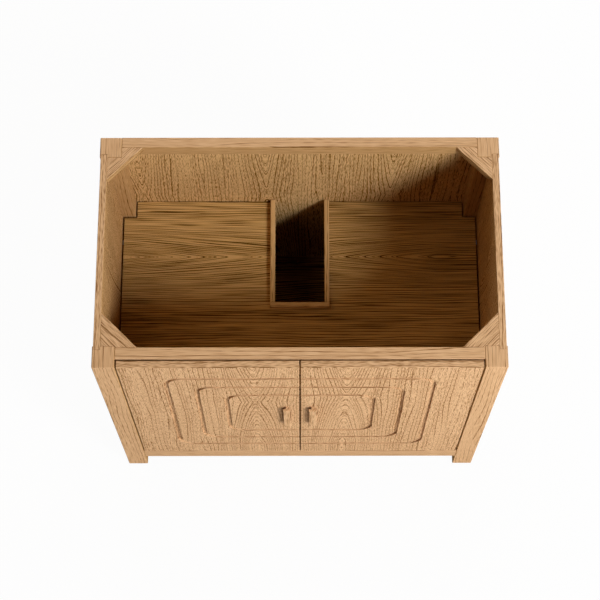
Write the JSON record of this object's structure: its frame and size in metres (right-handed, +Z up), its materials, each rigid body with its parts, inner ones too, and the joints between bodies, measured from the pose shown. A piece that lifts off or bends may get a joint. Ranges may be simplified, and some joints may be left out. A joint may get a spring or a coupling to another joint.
{
  "type": "bathroom vanity base unit",
  "caption": "Free-standing oak vanity base cabinet with corner legs, inset grooved doors on concealed hinges, a shelf with a pipe cut-out and an open top for a basin worktop.",
  "frame": {"origin": "on the floor, in the middle of the unit's footprint, pulls included", "axes": "+X along the width to the right of someone facing the doors, +Y from the doors towards the wall, +Z up"},
  "size_m": [0.914, 0.5644, 0.876],
  "materials": {
    "oak": "clear matt lacquer over open-grained light oak",
    "steel": "bright zinc plate",
    "rubber": "soft matt"
  },
  "bodies": {
    "carcass": {"back_left_corner_block": "oak", "back_left_leg": "oak", "back_panel": "oak", "back_right_corner_block": "oak", "back_right_leg": "oak", "bottom_back_rail": "oak", "bottom_front_rail": "oak", "bottom_panel": "oak", "door_bumpers": "rubber", "front_left_corner_block": "oak", "front_left_leg": "oak", "front_right_corner_block": "oak", "front_right_leg": "oak", "left_bottom_cleat": "oak", "left_side_panel": "oak", "lower_left_hinge_arm": "steel", "lower_right_hinge_arm": "steel", "right_bottom_cleat": "oak", "right_side_panel": "oak", "shelf": "oak", "shelf_edging_front": "oak", "shelf_edging_left": "oak", "shelf_edging_right": "oak", "shelf_pins": "steel", "top_back_rail": "oak", "top_front_rail": "oak", "upper_left_hinge_arm": "steel", "upper_right_hinge_arm": "steel"},
    "left_door": {"left_door": "oak", "left_handle": "oak", "left_handle_screws": "steel", "lower_left_hinge_housing": "steel", "lower_left_hinge_pin": "steel", "upper_left_hinge_housing": "steel", "upper_left_hinge_pin": "steel"},
    "right_door": {"lower_right_hinge_housing": "steel", "lower_right_hinge_pin": "steel", "right_door": "oak", "right_handle": "oak", "right_handle_screws": "steel", "upper_right_hinge_housing": "steel", "upper_right_hinge_pin": "steel"}
  },
  "joints": [
    {"name": "left_door_hinge", "type": "hinge", "parent": "carcass", "child": "left_door", "pos_m": [-0.396, -0.26325, 0.505], "axis": [0, 0, -1], "range_deg": [0, 100]},
    {"name": "right_door_hinge", "type": "hinge", "parent": "carcass", "child": "right_door", "pos_m": [0.396, -0.26325, 0.505], "axis": [0, 0, 1], "range_deg": [0, 100]}
  ]
}
